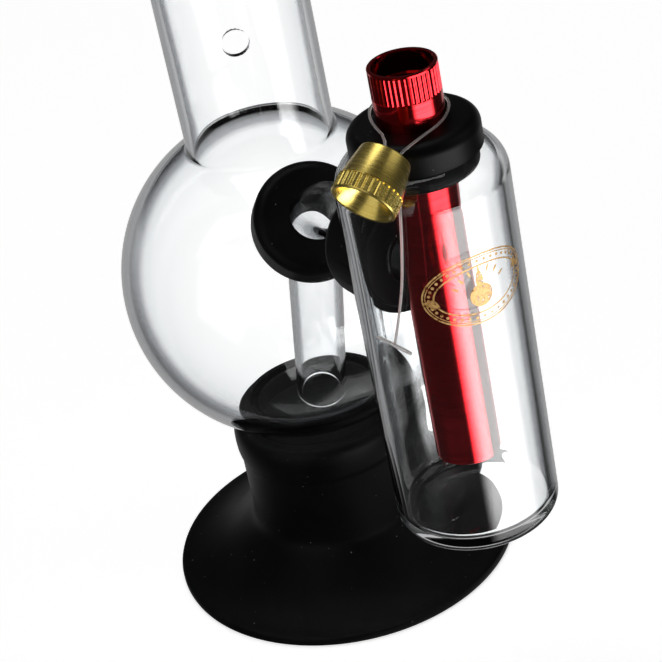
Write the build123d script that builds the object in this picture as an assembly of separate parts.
"""Glass water pipe with a side pre-cooler jar, hung on a bent glass tube.

The frame: +Z is up, the origin is the middle of the rubber base's underside, and the
pre-cooler jar stands out along -Y.  All sizes are in millimetres.
"""
from math import cos, pi, radians, sin, tan
import os

from build123d import *

# Chamber glass
TUBE_R = 25.0           # one 50 mm tube makes the neck, the foot skirt and the jar
GLASS_WALL = 2.8
CHAMBER_R = 57.8
CHAMBER_Z = 116.0
NECK_TOP_Z = 290.0
LIP_R = 27.2
LIP_H = 6.0
WELD_R = 2.5
SKIRT_BOTTOM_Z = 42.0
FINGER_HOLE_R = 5.0
FINGER_HOLE_Z = 193.5
FINGER_HOLE_TURN = 163.0  # degrees round from -Y, so almost opposite the jar
NECK_ROOT = 15.0        # how far the neck and skirt reach into the ball before they are cut
SKIRT_ROOT = 8.0
THROUGH = 60.0          # longer than any wall that a cutter goes through

# The port in the chamber for the bent tube
PORT_TURN = -8.0        # degrees round from -Y
PORT_RISE = 41.5        # degrees above level
PORT_HOLE_R = 14.0

# Rubber base
BASE_R = 62.5
BASE_RIM_H = 3.2
COLLAR_R = 31.0
COLLAR_FOOT_Z = 19.0
BEAD_R = 32.0
BEAD_Z = 47.5
BASE_TOP_Z = 60.0
PEDESTAL_TOP_Z = 54.5
FLARE_R = 45.5          # a point on the hollow curve from the rim up to the collar
FLARE_Z = 8.6
RIM_BEVEL = 0.8
GROOVE_FLOOR_GAP = 1.0
GROOVE_INNER_GAP = 0.1
RUBBER_FIT = 0.05       # running fit between rubber and glass

# Bent glass tube: inner end, corner and height of the level leg
ELBOW_R = 8.75
ELBOW_WALL = 1.6
ELBOW_BEND_R = 24.0
ELBOW_INNER_END = Vector(-2.3, -12.0, 73.0)
ELBOW_CORNER = Vector(-6.2, -47.1, 165.5)
ELBOW_TO_AXIS = 13.6    # where the level leg stops short of the jar's axis

# Rubber grommets, all three of one pattern
GROMMET_R = 19.0
GROMMET_EDGE_R = 3.6
GROMMET_OUT = 8.0       # outer flange above the glass
GROMMET_IN = 5.0        # inner flange below the glass
GROMMET_INNER_R = 16.8
SIDE_GROMMET_IN = 8.0   # deeper, because the jar's wall curves away from it
GROMMET_HEEL_R = 1.5
CHAMBER_SADDLE = 4.0    # how far each outer flange reaches down round its curved glass
SIDE_SADDLE = 9.0
MOUTH_SADDLE = 2.0
GROMMET_GAP = 0.05
ELBOW_FIT = 0.02        # between the chamber grommet and the bent tube it holds

# Pre-cooler jar
JAR_Y = -115.7
JAR_R = TUBE_R
JAR_BOTTOM_Z = 80.0
JAR_TOP_Z = 206.0
JAR_SHOULDER_R = 11.0
JAR_FLOOR = 4.0
JAR_HEEL_R = 4.5
JAR_MOUTH_R = 14.0

# Metal stem
STEM_R = 9.9
STEM_BORE_R = 7.8
STEM_SEAT_R = 8.6
STEM_SEAT_DEPTH = 7.0
STEM_BOTTOM_Z = 103.3
STEM_TOP_Z = 231.1
STEM_RIM = 0.8
STEM_FLUTE_H = 8.0
STEM_FLUTES = 44
STEM_GROOVE_R = 0.55
STEM_GROOVE_DEPTH = 0.35
STEM_CHAMFER = 0.3

# Brass bowl, hanging on its nylon tag with its mouth down and out
BOWL_TAIL = Vector(-18.5, -134.8, 216.3)
BOWL_AIM = Vector(-0.776, -0.370, -0.503)
BOWL_LENGTH = 15.0
BOWL_TAIL_R = 7.4
BOWL_MOUTH_R = 9.35
BOWL_HOLE_R = 2.3
BOWL_FLUTE_H = 4.4
BOWL_FLUTES = 32
BOWL_GROOVE_R = 0.7
BOWL_GROOVE_DEPTH = 0.4
BOWL_FLUTE_MARGIN = 0.4
BOWL_RIM = 1.0
BOWL_BEVEL = 0.5
BOWL_HOLE_DEPTH = 4.0

# Nylon tag
FILAMENT_D = 0.8
PADDLE_R = 3.1
PADDLE_H = 1.0
PADDLE_AT = 6.2         # from the bowl's tail, along its axis
T_BAR_LENGTH = 11.4
T_BAR_R = 0.55
T_BAR_CHAMFER = 0.15
T_BAR_GAP = 0.01
TAIL_LEAD = 4.0         # how far the filament runs straight out of the bowl's tail


def revolve_profile(points):
    """A solid turned from (radius, height) points about the Z axis."""
    outline = Polyline(*[(r, 0, h) for r, h in points], close=True)
    return revolve(make_face(outline), Axis.Z)


def tube(radius, bore, bottom, top):
    """An upright tube round the Z axis, between two heights."""
    wall = Cylinder(radius, top - bottom) - Cylinder(bore, top - bottom + 2)
    return Pos(0, 0, (bottom + top) / 2) * wall


def port_plane():
    """The plane on the chamber's surface at the port, looking straight out."""
    turn, rise = radians(PORT_TURN), radians(PORT_RISE)
    out = Vector(sin(turn) * cos(rise), -cos(turn) * cos(rise), sin(rise))
    return Plane(origin=Vector(0, 0, CHAMBER_Z) + out * CHAMBER_R, z_dir=out)


def side_plane():
    """The plane on the jar's wall where the level leg enters, looking at the chamber."""
    axis_point = Vector(0, JAR_Y, ELBOW_CORNER.Z)
    out = (ELBOW_CORNER - axis_point).normalized()
    return Plane(origin=axis_point + out * JAR_R, z_dir=out)


def mouth_plane():
    """The plane on top of the jar's mouth."""
    return Plane(origin=(0, JAR_Y, JAR_TOP_Z), z_dir=(0, 0, 1))


def make_glass_body():
    neck_from = CHAMBER_Z + CHAMBER_R - NECK_ROOT
    ball = Pos(0, 0, CHAMBER_Z) * Sphere(CHAMBER_R)
    neck = Pos(0, 0, (neck_from + NECK_TOP_Z) / 2) * Cylinder(TUBE_R, NECK_TOP_Z - neck_from)
    lip = Pos(0, 0, NECK_TOP_Z - LIP_H / 2) * Cylinder(LIP_R, LIP_H)
    lip = fillet(lip.edges().filter_by(GeomType.CIRCLE), LIP_H * 0.38)
    outside = ball + neck
    weld = outside.edges().filter_by(GeomType.CIRCLE).filter_by(
        lambda e: neck_from < e.center().Z < NECK_TOP_Z - LIP_H and abs(e.radius - TUBE_R) < 0.01)
    outside = fillet(weld, WELD_R) + lip
    hollow_r = CHAMBER_R - GLASS_WALL
    bore_r = TUBE_R - GLASS_WALL
    hollow = Pos(0, 0, CHAMBER_Z) * Sphere(hollow_r)
    hollow += Pos(0, 0, neck_from + THROUGH) * Cylinder(bore_r, 2 * THROUGH)
    hollow += Pos(0, 0, NECK_TOP_Z) * Cylinder(bore_r, THROUGH)
    skirt_top = CHAMBER_Z - CHAMBER_R + SKIRT_ROOT
    skirt = tube(TUBE_R, bore_r, SKIRT_BOTTOM_Z, skirt_top)
    glass = (outside + skirt) - hollow
    port = port_plane().location * Cylinder(PORT_HOLE_R, THROUGH / 3)
    turn = radians(FINGER_HOLE_TURN)
    out = Vector(sin(turn), -cos(turn), 0)
    hole = Plane(origin=out * TUBE_R + Vector(0, 0, FINGER_HOLE_Z), z_dir=out)
    glass -= port
    glass -= hole.location * Cylinder(FINGER_HOLE_R, THROUGH / 5)
    return glass


def make_rubber_base():
    groove_out = TUBE_R + RUBBER_FIT
    groove_in = TUBE_R - GLASS_WALL - GROOVE_INNER_GAP
    groove_z = SKIRT_BOTTOM_Z - GROOVE_FLOOR_GAP
    lead = RIM_BEVEL
    with BuildPart() as base:
        with BuildSketch(Plane.XZ):
            with BuildLine():
                rim = Polyline((0, 0), (BASE_R - lead, 0), (BASE_R, lead), (BASE_R, BASE_RIM_H - lead),
                               (BASE_R - lead, BASE_RIM_H))
                flare = ThreePointArc(rim @ 1, (FLARE_R, FLARE_Z), (COLLAR_R + 0.3, COLLAR_FOOT_Z))
                wall = Line(flare @ 1, (COLLAR_R, BEAD_Z))
                bead = ThreePointArc(wall @ 1, (BEAD_R, (BEAD_Z + BASE_TOP_Z) / 2 - 1),
                                     (COLLAR_R - 0.4, BASE_TOP_Z - 1.2))
                Polyline(bead @ 1, (COLLAR_R - 1.8, BASE_TOP_Z), (groove_out + lead, BASE_TOP_Z),
                         (groove_out, BASE_TOP_Z - lead), (groove_out, groove_z),
                         (groove_in, groove_z), (groove_in, PEDESTAL_TOP_Z - lead),
                         (groove_in - lead, PEDESTAL_TOP_Z), (0, PEDESTAL_TOP_Z), (0, 0))
            make_face()
        revolve(axis=Axis.Z)
    return base.part


def elbow_path():
    """The bent tube's centre line, from its open inner end to its end inside the jar."""
    axis_point = Vector(0, JAR_Y, ELBOW_CORNER.Z)
    level = (axis_point - ELBOW_CORNER).normalized()
    end = axis_point - level * ELBOW_TO_AXIS
    return FilletPolyline(ELBOW_INNER_END, ELBOW_CORNER, end, radius=ELBOW_BEND_R)


def elbow_solid(radius):
    path = elbow_path()
    start = Plane(origin=path @ 0, z_dir=path % 0)
    return sweep(start * Circle(radius), path=path)


def make_glass_elbow():
    path = elbow_path()
    start = Plane(origin=path @ 0, z_dir=path % 0)
    ring = Circle(ELBOW_R) - Circle(ELBOW_R - ELBOW_WALL)
    bent = sweep(start * ring, path=path)
    ends = bent.edges().filter_by(GeomType.CIRCLE)
    return fillet(ends, ELBOW_WALL * 0.4)


def grommet_blank(plane, saddle, inner_depth):
    """The moulded ring before the glass is cut out of it.

    Its outer flange reaches down by the saddle, and its inner one by the inner depth.
    """
    edge = GROMMET_EDGE_R
    inner = -inner_depth
    with BuildPart() as ring:
        with BuildSketch(Plane.XZ):
            with BuildLine():
                top = Polyline((0, GROMMET_OUT), (GROMMET_R - edge, GROMMET_OUT))
                nose = RadiusArc(top @ 1, (GROMMET_R, GROMMET_OUT - edge), edge)
                side = Polyline(nose @ 1, (GROMMET_R, -saddle), (GROMMET_INNER_R, -saddle),
                                (GROMMET_INNER_R, inner + GROMMET_HEEL_R))
                heel = RadiusArc(side @ 1, (GROMMET_INNER_R - GROMMET_HEEL_R, inner), GROMMET_HEEL_R)
                Polyline(heel @ 1, (0, inner), (0, GROMMET_OUT))
            make_face()
        revolve(axis=Axis.Z)
    return plane.location * ring.part


def grip(plane, blank, glass_with_gap):
    """The ring with a groove round the edge of its hole in the glass."""
    through = plane.location * Cylinder(PORT_HOLE_R - GROMMET_GAP, THROUGH)
    return blank - (glass_with_gap - through)


def make_chamber_grommet():
    plane = port_plane()
    shell = Sphere(CHAMBER_R + GROMMET_GAP) - Sphere(CHAMBER_R - GLASS_WALL - GROMMET_GAP)
    blank = grommet_blank(plane, CHAMBER_SADDLE, GLASS_WALL + GROMMET_IN)
    return grip(plane, blank, Pos(0, 0, CHAMBER_Z) * shell) - elbow_solid(ELBOW_R + ELBOW_FIT)


def jar_outside(grow=0.0):
    """The jar's outer shape, with a round shoulder and a rounded heel."""
    height = JAR_TOP_Z - JAR_BOTTOM_Z + 2 * grow
    body = Cylinder(JAR_R + grow, height)
    body = fillet(body.edges().group_by(Axis.Z)[-1], JAR_SHOULDER_R + grow)
    body = fillet(body.edges().group_by(Axis.Z)[0], JAR_HEEL_R + grow)
    return Pos(0, JAR_Y, (JAR_TOP_Z + JAR_BOTTOM_Z) / 2) * body


def jar_hollow(shrink=0.0):
    """The space inside the jar, above its thick floor."""
    bottom = JAR_BOTTOM_Z + JAR_FLOOR + shrink
    top = JAR_TOP_Z - GLASS_WALL - shrink
    body = Cylinder(JAR_R - GLASS_WALL - shrink, top - bottom)
    body = fillet(body.edges().group_by(Axis.Z)[-1], JAR_SHOULDER_R - GLASS_WALL - shrink)
    body = fillet(body.edges().group_by(Axis.Z)[0], JAR_HEEL_R - 1.0)
    return Pos(0, JAR_Y, (top + bottom) / 2) * body


def make_precooler_jar():
    jar = jar_outside() - jar_hollow()
    jar -= mouth_plane().location * Cylinder(JAR_MOUTH_R, THROUGH / 5)
    side = side_plane()
    hole = Plane(origin=side.origin + side.z_dir * (THROUGH / 2 - JAR_R / 2), z_dir=side.z_dir)
    return jar - hole.location * Cylinder(PORT_HOLE_R, THROUGH)


def jar_with_gap():
    return jar_outside(GROMMET_GAP) - jar_hollow(GROMMET_GAP)


def make_side_grommet():
    plane = side_plane()
    ring = grip(plane, grommet_blank(plane, SIDE_SADDLE, GLASS_WALL + SIDE_GROMMET_IN), jar_with_gap())
    return ring - plane.location * Cylinder(ELBOW_R + RUBBER_FIT, THROUGH)


def make_mouth_grommet():
    plane = mouth_plane()
    ring = grip(plane, grommet_blank(plane, MOUTH_SADDLE, GLASS_WALL + GROMMET_IN), jar_with_gap())
    return ring - plane.location * Cylinder(STEM_R + RUBBER_FIT, THROUGH)


def flutes(radius, length, count, groove_r, depth):
    """A ring of upright round-bottomed grooves, to be cut from a rim."""
    centre = radius + groove_r - depth
    return [Rot(0, 0, i * 360 / count) * Pos(centre, 0, 0) * Cylinder(groove_r, length)
            for i in range(count)]


def make_stem_tube():
    length = STEM_TOP_Z - STEM_BOTTOM_Z
    stem = Pos(0, 0, -length / 2) * (Cylinder(STEM_R, length) - Cylinder(STEM_BORE_R, length + 2))
    stem -= Pos(0, 0, -STEM_SEAT_DEPTH / 2) * Cylinder(STEM_SEAT_R, STEM_SEAT_DEPTH)
    ends = stem.edges().filter_by(GeomType.CIRCLE).filter_by(lambda e: abs(e.radius - STEM_R) < 0.01)
    stem = chamfer(ends, STEM_CHAMFER)
    grooves = flutes(STEM_R, STEM_FLUTE_H, STEM_FLUTES, STEM_GROOVE_R, STEM_GROOVE_DEPTH)
    stem -= Pos(0, 0, -STEM_RIM - STEM_FLUTE_H / 2) * Compound(children=grooves)
    return Pos(0, JAR_Y, STEM_TOP_Z) * stem


def bowl_plane():
    """The plane on the bowl's tail, looking along the bowl to its mouth."""
    return Plane(origin=BOWL_TAIL, z_dir=BOWL_AIM)


def make_brass_bowl():
    length = BOWL_LENGTH
    shoulder = length - BOWL_FLUTE_H - 2 * BOWL_FLUTE_MARGIN
    outline = [(BOWL_HOLE_R, 0), (BOWL_TAIL_R - BOWL_BEVEL, 0), (BOWL_TAIL_R, BOWL_BEVEL),
               (BOWL_MOUTH_R - 0.25, shoulder), (BOWL_MOUTH_R, shoulder + 0.3),
               (BOWL_MOUTH_R, length - BOWL_BEVEL), (BOWL_MOUTH_R - BOWL_BEVEL, length),
               (BOWL_MOUTH_R - BOWL_RIM, length), (BOWL_HOLE_R, BOWL_HOLE_DEPTH)]
    bowl = revolve_profile(outline)
    grooves = flutes(BOWL_MOUTH_R, BOWL_FLUTE_H, BOWL_FLUTES, BOWL_GROOVE_R, BOWL_GROOVE_DEPTH)
    bowl -= Pos(0, 0, length - BOWL_FLUTE_H / 2 - BOWL_FLUTE_MARGIN) * Compound(children=grooves)
    return bowl_plane().location * bowl


def round_jar(turn, radius, height):
    """A point round the jar's axis, its turn counted from -Y towards +X."""
    return Vector(radius * sin(radians(turn)), JAR_Y - radius * cos(radians(turn)), height)


def filament_route():
    """The filament: out of the bowl's tail, once round the stem, and down the jar's side."""
    aim = BOWL_AIM.normalized()
    return [
        BOWL_TAIL + aim * PADDLE_AT,
        BOWL_TAIL - aim * TAIL_LEAD,
        round_jar(-95, 12.7, 218.2),
        round_jar(-155, 12.7, 217.7),
        round_jar(145, 12.7, 217.2),
        round_jar(85, 12.7, 216.6),
        round_jar(22, 12.7, 216.0),
        round_jar(-24, 16.6, 215.3),
        round_jar(-44, 20.6, 212.5),
        round_jar(-43, 21.6, 205.5),
        round_jar(-42, 26.0, 199.0),
        round_jar(-45, 26.2, 187.0),
        round_jar(-51, 26.4, 171.0),
        round_jar(-62, 26.2, 156.0),
    ]


def corner_radii(points):
    """The largest arc that each corner's two runs allow: 0.45 of the shorter run."""
    radii = []
    for before, corner, after in zip(points, points[1:], points[2:]):
        run_in, run_out = corner - before, after - corner
        turn = radians(run_in.get_angle(run_out))
        radii.append(0.45 * min(run_in.length, run_out.length) / tan(turn / 2))
    return radii


def make_tag_filament():
    points = filament_route()
    radii = corner_radii(points)
    path = FilletPolyline(*points, radius=radii)
    cord = sweep(Plane(origin=path @ 0, z_dir=path % 0) * Circle(FILAMENT_D / 2), path=path)
    section = pi * FILAMENT_D**2 / 4
    print("filament radii", [round(r, 1) for r in radii])
    fill = cord.volume / section / path.length
    print("filament length", round(path.length, 1), "volume ratio", round(fill, 4))
    return cord


def make_tag_paddle():
    plane = bowl_plane()
    at = plane.origin + plane.z_dir * (PADDLE_AT + PADDLE_H / 2)
    disc = fillet(Cylinder(PADDLE_R, PADDLE_H).edges().filter_by(GeomType.CIRCLE), PADDLE_H * 0.3)
    return Plane(origin=at, z_dir=plane.z_dir).location * disc


def make_tag_t_bar():
    before, end = filament_route()[-2:]
    down = (end - before).normalized()
    out = (end - Vector(0, JAR_Y, end.Z)).normalized()
    bar = Cylinder(T_BAR_R, T_BAR_LENGTH)
    bar = chamfer(bar.edges().filter_by(GeomType.CIRCLE), T_BAR_CHAMFER)
    return Plane(origin=end + down * (T_BAR_R + T_BAR_GAP), z_dir=out.cross(down)).location * bar


MAKERS = {
    "rubber_base": make_rubber_base,
    "glass_body": make_glass_body,
    "chamber_grommet": make_chamber_grommet,
    "glass_elbow": make_glass_elbow,
    "side_grommet": make_side_grommet,
    "precooler_jar": make_precooler_jar,
    "mouth_grommet": make_mouth_grommet,
    "stem_tube": make_stem_tube,
    "brass_bowl": make_brass_bowl,
    "tag_filament": make_tag_filament,
    "tag_paddle": make_tag_paddle,
    "tag_t_bar": make_tag_t_bar,
}

os.makedirs("parts", exist_ok=True)
for name, make in MAKERS.items():
    export_step(make(), f"parts/{name}.step")
    print("wrote", name)
